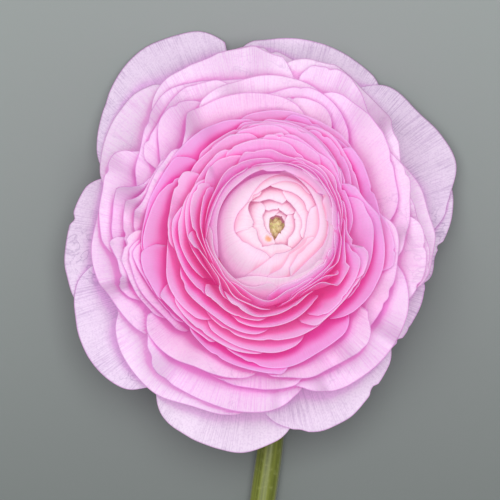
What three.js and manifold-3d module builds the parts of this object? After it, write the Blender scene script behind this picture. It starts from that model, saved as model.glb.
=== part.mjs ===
// A double ranunculus bloom with its cut stem, lying on a flat surface and facing straight up.
// The petals grow in four whorls from the receptacle at the end of the stem. They lie on nested
// shells, like the leaves of a bud: the heart folds over the carpels, the middle petals stand up
// as cups, the outer ones open flat and the guard petals reach furthest and hang a little.
// Millimetres, +Z up. The stem's underside is flat at z = 0, and the guard petals on the far
// side of the head hang down to the same surface.
import * as THREE from 'three';
import { mergeVertices } from 'three/addons/utils/BufferGeometryUtils.js';
import Module from 'manifold-3d';

const wasm = await Module();
wasm.setup();

// Driving dimensions, in millimetres and degrees
const HEAD_BASE = { x: 0.2, y: 47.6, z: 15.0 }; // where the petals begin, under the middle of the head
const LEAN_BACK = 5.0; // the head's axis leans away from the stem
const LEAN_SIDE = 3.0; // and towards +X
const PETAL_THICKNESS = 0.6;
const PETAL_FOOT = 0.7; // width at a petal's foot, as a share of its full width
const GOLDEN_ANGLE = 137.50776; // from each young petal to the next
const HEART_SHIFT = { x: 1.3, y: 3.8 }; // how far the closed heart grew off the axis at full height
const SHIFT_FOOT = 14.0; // height in the head where that shift begins
const SHIFT_RISE = 18.0; // height over which it grows to its full size
const DROOP = 10.1; // how far the oldest petals hang on the side away from the stem
const DROOP_ANGLE = 102; // where around the head they hang lowest
const SMOOTHNESS = 0.03; // joined faces that lie flatter than this are merged
const STEM_RADIUS = 3.0;
const STEM_HEIGHT = 2.7; // centre of the lying stem, so that its underside is pressed flat
const STEM_BEND = 9.3; // radius of the bend behind the head
const STEM_NECK = 3.0; // straight stretch between the head and the bend
const STEM_SIDES = 10;
const STEM_INSIDE = 4.0; // how far the stem reaches into the receptacle
const STEM_STEPS = 36;
const SEPALS = 5;
const SEPAL_THICKNESS = 0.8;
const SEPAL_HALF_WIDTH = 4.4;
const SEPAL_START = 18; // angle of the first sepal
const CARPELS = 26;
const CARPEL_RADIUS = 0.8;
const CARPEL_LENGTH = 2.4;

// Where the stem's middle line lies on the surface: x and y from under the middle of the head.
const STEM_LINE = [[1.4, -25], [2.2, -40], [0.2, -57], [-4.4, -85], [-8.6, -115], [-12.0, -146]];

// Outlines turned round the head's axis: radius and height in the head.
const RECEPTACLE = [
  [0, -3.5], [2.7, -3.4], [4.2, -1.6], [5.0, 0.3], [5.2, 2.8], [5.1, 5.0],
  [4.7, 7.2], [3.8, 9.8], [3.2, 11.6], [1.6, 12.8], [0, 13.0],
];
const CARPEL_CONE = [
  [0, 13.4], [1.4, 13.5], [2.9, 16.0], [3.2, 19.0], [2.6, 24.0], [1.5, 27.6], [0, 28.6],
];

// Shells that the petals lie on, from the youngest to the oldest: the radius and height in the
// head of a petal's root, of two handles of its curve, and of its rim.
const SHELLS = [
  { age: 0.0, root: [2.2, 13.6], low: [6.2, 14.6], high: [5.8, 30.5], rim: [1.5, 31.6] },
  { age: 0.1, root: [3.0, 12.8], low: [11.0, 13.8], high: [11.5, 34.5], rim: [4.8, 34.0] },
  { age: 0.2, root: [3.8, 12.0], low: [15.3, 12.8], high: [16.5, 36.5], rim: [9.2, 35.0] },
  { age: 0.25, root: [4.3, 10.4], low: [15.6, 11.4], high: [18.4, 29.0], rim: [13.2, 35.2] },
  { age: 0.3, root: [4.6, 9.8], low: [15.8, 10.8], high: [18.7, 25.0], rim: [15.6, 34.0] },
  { age: 0.42, root: [5.0, 8.4], low: [17.5, 9.6], high: [21.5, 19.5], rim: [21.0, 30.5] },
  { age: 0.6, root: [5.5, 6.8], low: [20.0, 8.2], high: [26.0, 15.0], rim: [28.6, 24.5] },
  { age: 0.65, root: [5.8, 5.6], low: [20.5, 7.0], high: [28.0, 13.0], rim: [31.0, 22.2] },
  { age: 0.78, root: [6.0, 4.6], low: [21.0, 6.2], high: [31.0, 11.0], rim: [37.0, 17.0] },
  { age: 0.88, root: [6.0, 3.6], low: [21.0, 5.2], high: [33.0, 8.8], rim: [42.0, 11.5] },
  { age: 0.955, root: [6.0, 2.8], low: [21.0, 4.4], high: [35.0, 7.4], rim: [47.5, 6.0] },
  { age: 1.0, root: [6.0, 1.7], low: [21.0, 3.0], high: [38.0, 6.0], rim: [53.0, 0.6] },
  { age: 1.05, root: [6.0, 0.4], low: [21.0, 1.2], high: [38.0, 4.2], rim: [53.0, -1.4] },
];

// Guard petals and outer petals, one by one: where each stands around the head, half of its
// width as an angle, and the radius that its rim reaches.
const GUARD_PETALS = [
  [123, 30, 53.1], [78, 27, 52.2], [39, 25, 51.3], [8, 22, 45.0], [293, 27, 43.2],
  [257, 27, 45.8], [211, 26, 46.6], [176, 25, 46.4], [338, 22, 38.8],
];
const OUTER_PETALS = [
  [98, 30, 47.5], [196, 24, 45.4], [135, 30, 46.6], [63, 32, 46.2], [232, 36, 41.2],
  [119, 29, 43.3], [15, 30, 40.0], [154, 27, 41.0], [90, 33, 40.2], [184, 29, 39.7],
  [338, 27, 38.2], [249, 37, 37.8], [46, 34, 37.8], [167, 31, 36.5], [310, 34, 36.6],
  [1, 29, 37.3], [102, 37, 35.5], [211, 31, 35.4], [31, 27, 35.9], [336, 29, 35.2],
  [274, 34, 32.5], [150, 34, 32.4], [71, 31, 32.4], [9, 31, 32.4], [242, 34, 32.5],
  [304, 29, 31.2], [190, 31, 31.7], [129, 31, 31.0], [342, 34, 30.6], [214, 31, 30.8],
];
const OUTER_AGES = { oldest: 0.95, youngest: 0.657 }; // the outer petals are listed oldest first
const GUARD_AGE = 1.025;
const HEART_PETALS = 15;
const MIDDLE_PETALS = 23;

// Each whorl's petals: how square their tops are, where they are widest, how much they wave out
// of their shell and along their rim, how far one side lies outside the other, how their faces
// are divided, and the share of the shells that the whorl's solid core fills.
const WHORLS = {
  heart: {
    square: 2.0, widest: 0.5, wave: 0.08, jag: 0.006, twist: 0.004, across: 5, along: 3,
    core: { from: 0.0, to: 0.2, share: 0.42 },
  },
  middle: {
    square: 3.4, widest: 0.6, wave: 0.14, jag: 0.008, twist: 0.006, across: 6, along: 2,
    core: { from: 0.25, to: 0.6, share: 0.55 },
  },
  outer: {
    square: 3.6, widest: 0.6, wave: 0.2, jag: 0.006, twist: 0.003, across: 6, along: 3,
    core: { from: 0.65, to: 0.955, share: 0.5 },
  },
  guard: {
    square: 4.2, widest: 0.62, wave: 0.3, jag: 0.008, twist: 0.02, across: 7, along: 4,
    core: { from: 1.0, to: 1.05, share: 0.22 },
  },
};
const ROOT_DEPTH = 0.12; // share of its shell that a petal's root is sunk into the core

const radians = THREE.MathUtils.degToRad;
const mix = THREE.MathUtils.lerp;

function smoothStep(low, high, value) {
  return THREE.MathUtils.smoothstep(value, low, high);
}

// A repeatable draw between 0 and 1 for a petal's number and a purpose.
function draw(number, purpose) {
  const turn = Math.sin(number * 12.9898 + purpose * 78.233) * 43758.5453;
  return turn - Math.floor(turn);
}

// A few sine waves across a petal, each with a drawn height and phase.
function ripple(x, number, purpose, waves) {
  let total = 0;
  for (let k = 1; k <= waves; k += 1) {
    const height = 3.4 * (draw(number, purpose + k) - 0.5) / k ** 0.8;
    const phase = 2 * Math.PI * draw(number, purpose + k + 0.5);
    total += height * Math.sin(k * Math.PI * 0.7 * x + phase);
  }
  return total;
}

// Value of one of the shells' columns at any age, on straight lines between the listed ages.
function shellValue(age, column, axis) {
  const last = SHELLS.length - 1;
  let k = 0;
  while (k < last - 1 && SHELLS[k + 1].age < age) {
    k += 1;
  }
  const near = SHELLS[k];
  const far = SHELLS[k + 1];
  const share = THREE.MathUtils.clamp((age - near.age) / (far.age - near.age), 0, 1);
  return mix(near[column][axis], far[column][axis], share);
}

// Radius and height of a shell at a share of its length, on its cubic Bezier curve.
function shellPoint(age, share) {
  const rest = 1 - share;
  const weights = {
    root: rest ** 3,
    low: 3 * share * rest ** 2,
    high: 3 * share ** 2 * rest,
    rim: share ** 3,
  };
  const point = [0, 0];
  for (const [column, weight] of Object.entries(weights)) {
    point[0] += weight * shellValue(age, column, 0);
    point[1] += weight * shellValue(age, column, 1);
  }
  return point;
}

// Age of the open shell whose rim has this radius, by halving.
function ageOfRim(radius) {
  let low = 0.2;
  let high = 0.955;
  for (let k = 0; k < 40; k += 1) {
    const middle = (low + high) / 2;
    if (shellValue(middle, 'rim', 0) < radius) {
      low = middle;
    } else {
      high = middle;
    }
  }
  return low;
}

// Share of a shell's length at which it reaches this radius, by halving.
function shareOfRim(age, radius) {
  let low = 0.5;
  let high = 1.1;
  for (let k = 0; k < 40; k += 1) {
    const middle = (low + high) / 2;
    if (shellPoint(age, middle)[0] < radius) {
      low = middle;
    } else {
      high = middle;
    }
  }
  return low;
}

// A point of the head in place: younger shells are shifted with height, older ones hang down.
function headPoint(age, share, angle) {
  const [radius, height] = shellPoint(age, share);
  const point = new THREE.Vector3(radius * Math.cos(angle), radius * Math.sin(angle), height);
  const young = 1 - smoothStep(0.18, 0.62, age);
  const rise = Math.max(height - SHIFT_FOOT, 0) / SHIFT_RISE;
  point.x += HEART_SHIFT.x * young * rise;
  point.y += HEART_SHIFT.y * young * rise;
  const away = (0.5 + 0.5 * Math.cos(angle - radians(DROOP_ANGLE))) ** 1.5;
  point.z -= DROOP * away * smoothStep(18, 56, radius) * smoothStep(0.55, 1.0, age);
  return point;
}

// Bare geometry from corners and triangles.
function geometryOf(points, triangles) {
  const geometry = new THREE.BufferGeometry();
  const places = points.flatMap((point) => [point.x, point.y, point.z]);
  geometry.setAttribute('position', new THREE.Float32BufferAttribute(places, 3));
  geometry.setIndex(triangles);
  return geometry;
}

// A closed solid made of a geometry whose equal corners are merged.
function solidOf(geometry) {
  const bare = geometry.clone();
  for (const name of Object.keys(bare.attributes)) {
    if (name !== 'position') {
      bare.deleteAttribute(name);
    }
  }
  const merged = mergeVertices(bare, 1e-4);
  return new wasm.Manifold(new wasm.Mesh({
    numProp: 3,
    vertProperties: merged.attributes.position.array,
    triVerts: new Uint32Array(merged.index.array),
  }));
}

// Joins solids and keeps the one body, without scraps and without the hollows sealed inside it.
function joined(solids) {
  const whole = solids.reduce((sum, solid) => sum.add(solid)).simplify(SMOOTHNESS);
  return whole.decompose().reduce((best, body) => (body.volume() > best.volume() ? body : best));
}

function geometryOfSolid(solid) {
  const mesh = solid.getMesh();
  const geometry = new THREE.BufferGeometry();
  geometry.setAttribute('position', new THREE.BufferAttribute(mesh.vertProperties, 3));
  geometry.setIndex(new THREE.BufferAttribute(mesh.triVerts, 1));
  return geometry;
}

// Triangles of a closed thin sheet whose front grid comes first and back grid second. Both
// faces are split along the same diagonals, and a strip joins them round the border.
function sheetTriangles(across, along) {
  const row = along + 1;
  const back = (across + 1) * row;
  const triangles = [];
  for (let i = 0; i < across; i += 1) {
    for (let j = 0; j < along; j += 1) {
      const a = i * row + j;
      const b = a + row;
      const c = b + 1;
      const d = a + 1;
      triangles.push(a, b, c, a, c, d);
      triangles.push(back + a, back + c, back + b, back + a, back + d, back + c);
    }
  }
  const border = [];
  for (let i = 0; i < across; i += 1) {
    border.push(i * row);
  }
  for (let j = 0; j < along; j += 1) {
    border.push(across * row + j);
  }
  for (let i = across; i > 0; i -= 1) {
    border.push(i * row + along);
  }
  for (let j = along; j > 0; j -= 1) {
    border.push(j);
  }
  border.forEach((from, k) => {
    const to = border[(k + 1) % border.length];
    triangles.push(from, back + from, back + to, from, back + to, to);
  });
  return triangles;
}

// The closed sheet round a grid of points: each point moved both ways along the grid's normal.
function thickened(grid, across, along, thickness) {
  const at = (i, j) => grid[i * (along + 1) + j];
  const front = [];
  const back = [];
  for (let i = 0; i <= across; i += 1) {
    for (let j = 0; j <= along; j += 1) {
      const sideways = at(Math.min(i + 1, across), j).clone().sub(at(Math.max(i - 1, 0), j));
      const forward = at(i, Math.min(j + 1, along)).clone().sub(at(i, Math.max(j - 1, 0)));
      const normal = sideways.cross(forward).normalize().multiplyScalar(thickness / 2);
      front.push(at(i, j).clone().add(normal));
      back.push(at(i, j).clone().sub(normal));
    }
  }
  return solidOf(geometryOf([...front, ...back], sheetTriangles(across, along)));
}

// One petal: a grid whose top follows a superellipse, laid on its shell and waved a little.
// A petal has a number for its draws, an angle, a half span, an age and a reach.
function petalSolid(petal, whorl) {
  const { square, widest, across, along } = whorl;
  const foot = whorl.core.share - ROOT_DEPTH;
  const grid = [];
  for (let i = 0; i <= across; i += 1) {
    const u = 2 * i / across - 1;
    for (let j = 0; j <= along; j += 1) {
      const v = mix(foot, 1, 1 - (1 - j / along) ** 1.2);
      const top = THREE.MathUtils.clamp((v - widest) / (1 - widest), 0, 1);
      const claw = mix(PETAL_FOOT, 1, Math.sin(Math.min(v / widest, 1) * Math.PI / 2));
      const x = u * claw * (1 - top ** square / 2) ** (1 / square);
      const round = (1 - Math.abs(u) ** square / 2) ** (1 / square);
      const arch = v > widest ? widest + (1 - widest) * top * round : v;
      const y = arch * (1 + petal.skew * x * arch ** 2)
        + whorl.jag * ripple(x, petal.number, 10, 4) * arch ** 4;
      const age = petal.age + whorl.twist * x * smoothStep(0.1, 0.6, y);
      const angle = petal.angle + petal.halfSpan * x;
      const wave = whorl.wave * ripple(x, petal.number, 20, 3) * y ** 3;
      grid.push(wavedPoint(age, petal.reach * y, angle, wave));
    }
  }
  return thickened(grid, across, along, PETAL_THICKNESS);
}

// A point of the head that stands off its shell by a wave, square to the shell.
function wavedPoint(age, share, angle, wave) {
  const step = 0.01;
  const point = headPoint(age, share, angle);
  const forward = headPoint(age, share + step, angle).sub(headPoint(age, share - step, angle));
  const sideways = headPoint(age, share, angle + step).sub(headPoint(age, share, angle - step));
  return point.add(sideways.cross(forward).normalize().multiplyScalar(wave));
}

// The solid core of a whorl: the room between its youngest and its oldest shell, from their
// roots to a share of their length, turned all round.
function coreSolid({ from, to, share }) {
  const steps = 4;
  const turns = 20;
  const outline = [];
  for (let k = 0; k <= steps; k += 1) {
    outline.push([from, share * k / steps]);
  }
  for (let k = steps; k >= 0; k -= 1) {
    outline.push([to, share * k / steps]);
  }
  const points = [];
  for (let t = 0; t < turns; t += 1) {
    for (const [age, part] of outline) {
      points.push(headPoint(age, part, 2 * Math.PI * t / turns));
    }
  }
  const row = outline.length;
  const triangles = [];
  for (let t = 0; t < turns; t += 1) {
    for (let k = 0; k < row; k += 1) {
      const a = t * row + k;
      const b = t * row + (k + 1) % row;
      const c = ((t + 1) % turns) * row + (k + 1) % row;
      const d = ((t + 1) % turns) * row + k;
      triangles.push(a, b, c, a, c, d);
    }
  }
  return solidOf(geometryOf(points, triangles));
}

// Petals of a whorl, each with its draws.
function youngPetals(count, start, petalOf) {
  return Array.from({ length: count }, (_, k) => {
    const number = start + k;
    return { number, skew: 0, ...petalOf(k, k / (count - 1), number) };
  });
}

const heartPetals = youngPetals(HEART_PETALS, 100, (k, part, number) => ({
  age: mix(0.0, 0.2, part),
  angle: radians(GOLDEN_ANGLE * k + 23 + 10 * (draw(number, 1) - 0.5)),
  halfSpan: radians(70 - 8 * part + 8 * (draw(number, 2) - 0.5)),
  reach: 1 + 0.05 * (draw(number, 3) - 0.5),
}));

const middlePetals = youngPetals(MIDDLE_PETALS, 200, (k, part, number) => ({
  age: ageOfRim(13.4 + 15.6 * part + 0.6 * (draw(number, 1) - 0.5)),
  angle: radians(GOLDEN_ANGLE * k + 63 + 14 * (draw(number, 2) - 0.5)),
  halfSpan: radians(52 - 10 * part + 8 * (draw(number, 3) - 0.5)),
  reach: 0.98 + 0.05 * (draw(number, 4) - 0.5),
}));

const outerPetals = OUTER_PETALS.map(([angle, halfSpan, radius], k) => {
  const number = 300 + k;
  const age = mix(OUTER_AGES.oldest, OUTER_AGES.youngest, k / (OUTER_PETALS.length - 1));
  return {
    number,
    age,
    angle: radians(angle),
    halfSpan: radians(halfSpan),
    reach: shareOfRim(age, radius),
    skew: 0.08 * (draw(number, 1) - 0.5),
  };
});

const guardPetals = GUARD_PETALS.map(([angle, halfSpan, radius], k) => {
  const number = 400 + k;
  const age = GUARD_AGE;
  return {
    number,
    age,
    angle: radians(angle),
    halfSpan: radians(halfSpan),
    reach: shareOfRim(age, radius),
    skew: 0.06 * (draw(number, 1) - 0.5),
  };
});

function whorlSolid(petals, whorl) {
  return joined([coreSolid(whorl.core), ...petals.map((petal) => petalSolid(petal, whorl))]);
}

// Places head coordinates above the surface.
const headPlace = new THREE.Matrix4().compose(
  new THREE.Vector3(HEAD_BASE.x, HEAD_BASE.y, HEAD_BASE.z),
  new THREE.Quaternion().setFromEuler(new THREE.Euler(radians(-LEAN_BACK), radians(LEAN_SIDE), 0)),
  new THREE.Vector3(1, 1, 1),
);

// Carpels: small beaked seeds, packed round a cone that stands on the receptacle.
function carpelsSolid() {
  const profile = CARPEL_CONE.map(([radius, height]) => new THREE.Vector2(radius, height));
  const shift = (point) => {
    const rise = Math.max(point.z - SHIFT_FOOT, 0) / SHIFT_RISE;
    return point.add(new THREE.Vector3(HEART_SHIFT.x * rise, HEART_SHIFT.y * rise, 0));
  };
  const lathe = new THREE.LatheGeometry(profile, 10).rotateX(Math.PI / 2);
  const place = lathe.attributes.position;
  for (let k = 0; k < place.count; k += 1) {
    const point = shift(new THREE.Vector3().fromBufferAttribute(place, k));
    place.setXYZ(k, point.x, point.y, point.z);
  }
  const solids = [solidOf(lathe)];
  const spline = new THREE.SplineCurve(profile);
  for (let k = 0; k < CARPELS; k += 1) {
    const part = mix(0.42, 0.93, k / (CARPELS - 1));
    const foot = spline.getPoint(part);
    const angle = radians(GOLDEN_ANGLE * k);
    const beak = new THREE.ConeGeometry(CARPEL_RADIUS, CARPEL_LENGTH, 4).rotateX(Math.PI / 2);
    const rise = radians(mix(35, 75, part));
    beak.translate(0, 0, CARPEL_LENGTH / 4).rotateY(Math.PI / 2 - rise);
    beak.translate(foot.x - 0.3, 0, foot.y).rotateZ(angle);
    const offset = shift(new THREE.Vector3(0, 0, foot.y));
    beak.translate(offset.x, offset.y, 0);
    solids.push(solidOf(beak));
  }
  return joined(solids);
}

// The stem's middle line: out of the head, round the bend and along the surface.
function stemCurve() {
  const out = new THREE.Vector3(0, 0, -1).transformDirection(headPlace);
  const base = new THREE.Vector3(HEAD_BASE.x, HEAD_BASE.y, HEAD_BASE.z);
  const inside = base.clone().addScaledVector(out, -STEM_INSIDE);
  const neck = base.clone().addScaledVector(out, STEM_NECK);
  const points = [inside, base, neck];
  for (const turn of [30, 60, 90]) {
    const angle = radians(turn);
    const down = (neck.z - STEM_HEIGHT) * Math.sin(angle);
    points.push(new THREE.Vector3(neck.x, neck.y - STEM_BEND * (1 - Math.cos(angle)), neck.z - down));
  }
  for (const [x, y] of STEM_LINE) {
    points.push(new THREE.Vector3(HEAD_BASE.x + x, HEAD_BASE.y + y, STEM_HEIGHT));
  }
  return new THREE.CatmullRomCurve3(points, false, 'centripetal');
}

// A sepal: a short green blade that lies under the guard petals.
function sepalSolid(angle) {
  const across = 4;
  const along = 3;
  const curve = new THREE.CubicBezierCurve(
    new THREE.Vector2(2.6, -1.4), new THREE.Vector2(8.0, -1.6),
    new THREE.Vector2(12.0, 0.2), new THREE.Vector2(16.5, -2.6),
  );
  const grid = [];
  for (let i = 0; i <= across; i += 1) {
    const u = 2 * i / across - 1;
    for (let j = 0; j <= along; j += 1) {
      const v = j / along;
      const middle = curve.getPoint(v);
      const width = SEPAL_HALF_WIDTH * Math.sin(Math.PI * mix(0.22, 0.9, v)) ** 0.8;
      const cup = 0.5 * u * u * v;
      const point = new THREE.Vector3(middle.x - 1.2 * u * u * v, u * width, middle.y + cup);
      grid.push(point.applyAxisAngle(new THREE.Vector3(0, 0, 1), angle));
    }
  }
  return thickened(grid, across, along, SEPAL_THICKNESS);
}

// Stem, receptacle and sepals, grown as one piece and pressed flat where they lie.
function stemSolid() {
  const section = new THREE.Shape();
  for (let k = 0; k < STEM_SIDES; k += 1) {
    const angle = 2 * Math.PI * k / STEM_SIDES;
    const corner = [STEM_RADIUS * Math.cos(angle), STEM_RADIUS * Math.sin(angle)];
    if (k === 0) {
      section.moveTo(...corner);
    } else {
      section.lineTo(...corner);
    }
  }
  section.closePath();
  const tube = new THREE.ExtrudeGeometry(section, {
    extrudePath: stemCurve(), steps: STEM_STEPS, bevelEnabled: false,
  });
  const profile = RECEPTACLE.map(([radius, height]) => new THREE.Vector2(radius, height));
  const receptacle = new THREE.LatheGeometry(profile, 14).rotateX(Math.PI / 2).applyMatrix4(headPlace);
  const solids = [solidOf(tube), solidOf(receptacle)];
  const place = new Float32Array(headPlace.elements);
  for (let k = 0; k < SEPALS; k += 1) {
    solids.push(sepalSolid(radians(SEPAL_START + 360 * k / SEPALS)).transform(Array.from(place)));
  }
  const ground = new THREE.BoxGeometry(400, 400, 40).translate(0, 0, -20);
  return joined([solids.reduce((sum, solid) => sum.add(solid)).subtract(solidOf(ground))]);
}

// Finishes
function finish(colour, roughness) {
  return new THREE.MeshStandardMaterial({ color: colour, roughness, metalness: 0 });
}

function piece(name, solid, material) {
  const mesh = new THREE.Mesh(geometryOfSolid(solid), material);
  mesh.geometry.computeVertexNormals();
  mesh.name = name;
  return mesh;
}

const head = new THREE.Group();
head.position.set(HEAD_BASE.x, HEAD_BASE.y, HEAD_BASE.z);
head.rotation.set(radians(-LEAN_BACK), radians(LEAN_SIDE), 0);
head.add(
  piece('heart_petals', whorlSolid(heartPetals, WHORLS.heart), finish('#f6dcec', 0.6)),
  piece('middle_petals', whorlSolid(middlePetals, WHORLS.middle), finish('#ec7fc0', 0.6)),
  piece('outer_petals', whorlSolid(outerPetals, WHORLS.outer), finish('#f2c6ea', 0.6)),
  piece('guard_petals', whorlSolid(guardPetals, WHORLS.guard), finish('#dcc3e0', 0.5)),
  piece('carpels', carpelsSolid(), finish('#c3c07c', 0.7)),
);

const flower = new THREE.Group();
flower.add(head, piece('stem', stemSolid(), finish('#717831', 0.5)));

export default flower;
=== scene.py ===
"""A double ranunculus bloom on its cut stem, lying on a grey floor and seen from straight above.

The petals are thin closed sheets on nested shells, as those of the solids are, each with its own rim.
Lengths are in millimetres until a mesh is made, and heights in the head start where the petals do.
"""
import math

import bpy
import numpy as np
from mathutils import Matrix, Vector


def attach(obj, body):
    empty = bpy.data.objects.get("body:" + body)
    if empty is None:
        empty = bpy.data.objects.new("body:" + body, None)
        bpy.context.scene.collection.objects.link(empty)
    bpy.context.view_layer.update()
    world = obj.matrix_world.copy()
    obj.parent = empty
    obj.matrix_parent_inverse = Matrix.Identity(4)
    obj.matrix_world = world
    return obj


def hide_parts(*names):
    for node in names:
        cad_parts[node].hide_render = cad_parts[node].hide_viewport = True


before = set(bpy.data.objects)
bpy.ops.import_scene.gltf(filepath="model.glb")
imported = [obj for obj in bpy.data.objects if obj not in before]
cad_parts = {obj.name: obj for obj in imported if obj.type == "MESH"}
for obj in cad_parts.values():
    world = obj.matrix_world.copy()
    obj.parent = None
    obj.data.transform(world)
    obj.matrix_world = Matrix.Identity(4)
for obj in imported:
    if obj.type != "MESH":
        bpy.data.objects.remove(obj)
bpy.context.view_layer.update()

MM = 0.001

# The head, in millimetres and degrees
HEAD_BASE = np.array((0.2, 47.6, 15.0))  # where the petals begin, under the middle of the head
LEAN_BACK = 5.0  # the head's axis leans away from the stem
LEAN_SIDE = 3.0  # and towards +X
GOLDEN_ANGLE = 137.50776
HEART_SHIFT = (1.3, 3.8)  # how far young shells stand off the axis at SHIFT_RISE above SHIFT_FOOT
BALL_SHIFT = (1.0, 3.0)  # the same for the oldest shell of the closed ball
BALL_AGE = 0.2
SHIFT_FOOT = 14.0
SHIFT_RISE = 18.0
SHIFT_AGES = (0.18, 0.62)  # between which the shift goes
DROOP = 10.1  # how far the oldest rims hang on the side away from the stem
DROOP_ANGLE = 102.0
DROOP_RADII = (18.0, 56.0)
DROOP_AGES = (0.55, 1.0)
FLOOR_GAP = 0.2  # from the floor to the middle of a petal that lies on it

# Petals
FOOT_WIDTH = 0.7  # as a share of the full width
FOOT_THICKNESS = 0.28
RIM_THICKNESS = 0.10
THICK_FROM = 12.0  # how far in from its edge a petal is as thick as its foot
FLUSH_AND_SHADE_WIDTH = 4.0  # how far out from what covers a petal its deep colour reaches, painted shade under the covering rim
CORNER_START = 0.72  # share of a petal's half width past which its top falls away
NICK_WIDTH = 0.08  # of a small tear in the rim, as a share of the petal's half width
NICK_DEPTH = 0.02  # at most, as a share of the petal's length
AGE_STEP = 0.009  # how much younger the shell of a petal is than that of one which it lies on
BALL_RADIUS = 10.5
WIDE_OPEN = 20.0  # wider than any rim of the ball
BALL_BLOOM = 0.45  # how far the ball's oldest petals take the colours of those that hug it
HUGGING_PETALS = 6
COVER_REACH = 8  # places over which what lies under or on a petal is evened out
LEAST_SLOPE = 8.0  # of a shell's radius by its length, to look for a radius on it
PLACES = np.linspace(-1.0, 1.0, 61)
CIRCLE = np.radians(np.arange(0.0, 360.0, 0.5))
MAP_UNIT = 100.0  # millimetres to one unit of a petal's flat map

# Stem, sepals and seeds
STEM_RADIUS = 3.0
STEM_HEIGHT = 2.7  # of the lying stem's middle line
STEM_BEND = 9.3  # how far the bend under the head reaches towards the cut end
STEM_NECK = 3.0
STEM_INSIDE = 4.0
STEM_LINE = [(1.4, -25), (2.2, -40), (0.2, -57), (-4.4, -85), (-8.6, -115), (-12.0, -146)]
STEM_RINGS = 420
BORE_RADIUS = 1.5
BORE_RINGS = 39
RIBS = 9
RIB_DEPTH = 0.014  # as a share of the stem's radius
SEPALS = 5
SEPAL_THICKNESS = 0.4
SEPAL_HALF_WIDTH = 4.4
SEPAL_START = 18.0
SEPAL_RADII = (2.6, 8.0, 12.0, 16.5)
SEPAL_HEIGHTS = (-1.4, -1.6, 0.2, -2.6)
CARPELS = 40
CARPEL_RADIUS = 0.85
CARPEL_LENGTH = 2.6
STAIN_PLACE = (1.38, 51.0)  # pollen on the heart, in the part's own x and y
STAIN_RADIUS = 1.15
STAIN_STRENGTH = 0.75

# Outlines turned round the head's axis: radius and height in the head.
RECEPTACLE = np.array([(2.7, -3.4), (4.2, -1.6), (5.0, 0.3), (5.2, 2.8), (5.1, 5.0), (4.7, 7.2), (3.8, 9.8),
                       (3.2, 11.6), (1.6, 12.8)])
CARPEL_CONE = np.array([(1.4, 13.5), (2.9, 16.0), (3.2, 19.0), (2.9, 24.0), (2.4, 27.6), (0.8, 30.2)])

# Shells, youngest first: age, then radius and height of root, two handles and rim.
SHELLS = np.array([
    (0.00, 2.2, 13.6, 6.2, 14.6, 5.6, 31.5, 1.4, 32.4),
    (0.10, 3.0, 12.8, 10.8, 13.8, 11.4, 35.3, 4.6, 34.5),
    (0.15, 3.4, 12.4, 13.7, 13.3, 15.0, 36.5, 6.8, 35.2),
    (0.20, 3.8, 12.0, 14.7, 12.8, 16.4, 37.6, 9.0, 36.2),
    (0.23, 4.2, 11.0, 15.2, 11.8, 16.8, 32.0, 12.0, 34.9),
    (0.26, 4.4, 10.4, 15.8, 11.2, 15.4, 28.5, 14.6, 33.8),
    (0.32, 4.7, 9.6, 17.2, 10.6, 15.0, 27.0, 17.4, 32.8),
    (0.42, 5.0, 8.4, 17.8, 9.6, 15.6, 25.4, 21.0, 30.5),
    (0.60, 5.5, 6.8, 18.5, 8.2, 21.6, 19.2, 28.6, 24.5),
    (0.65, 5.8, 5.6, 19.5, 7.0, 23.4, 17.2, 31.0, 22.2),
    (0.78, 6.0, 4.6, 20.5, 6.2, 29.0, 13.0, 37.0, 17.0),
    (0.88, 6.0, 3.6, 21.0, 5.2, 33.0, 8.8, 42.0, 11.5),
    (0.955, 6.0, 2.8, 21.0, 4.4, 35.0, 7.4, 47.5, 6.0),
    (1.00, 6.0, 1.7, 21.0, 3.0, 38.0, 6.0, 53.0, 0.6),
    (1.05, 6.0, 0.4, 21.0, 1.2, 38.0, 4.2, 53.0, -1.4),
])
OPEN_SHELLS = SHELLS[4:]

# Petals one by one, oldest first, as their rims lie round the head: the angles of a petal's two
# sides in degrees, then the radii of its rim in millimetres at even places from one to the other.
GUARD_RIMS = [
    (53, 97, 50.0, 51.2, 52.2, 52.6, 52.5, 51.6, 50.6),
    (99.3, 154, 54.2, 55.7, 56.4, 54.4, 51.0, 47.0, 42.4),
    (153, 198, 42.4, 44.1, 45.0, 45.6, 45.8, 45.0, 44.6),
    (232, 281, 42.6, 44.8, 45.6, 46.0, 46.1, 43.9, 41.2),
    (-12, 24, 38.6, 39.7, 40.4, 43.1, 45.4, 47.1, 48.0),
    (8, 61, 42.5, 45.8, 50.8, 51.1, 50.3, 50.6, 47.6),
    (183, 231, 41.0, 43.9, 45.4, 46.4, 46.5, 45.1, 41.8),
    (268, 326, 37.2, 40.6, 43.1, 43.0, 41.2, 39.3, 37.2),
    (318, 352, 36.6, 36.9, 37.7, 38.0, 38.3, 38.0, 38.0),
]
GUARD_AGES = (1.04, 1.03, 1.03, 1.03, 1.03, 1.015, 1.02, 1.02, 0.99)
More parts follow.
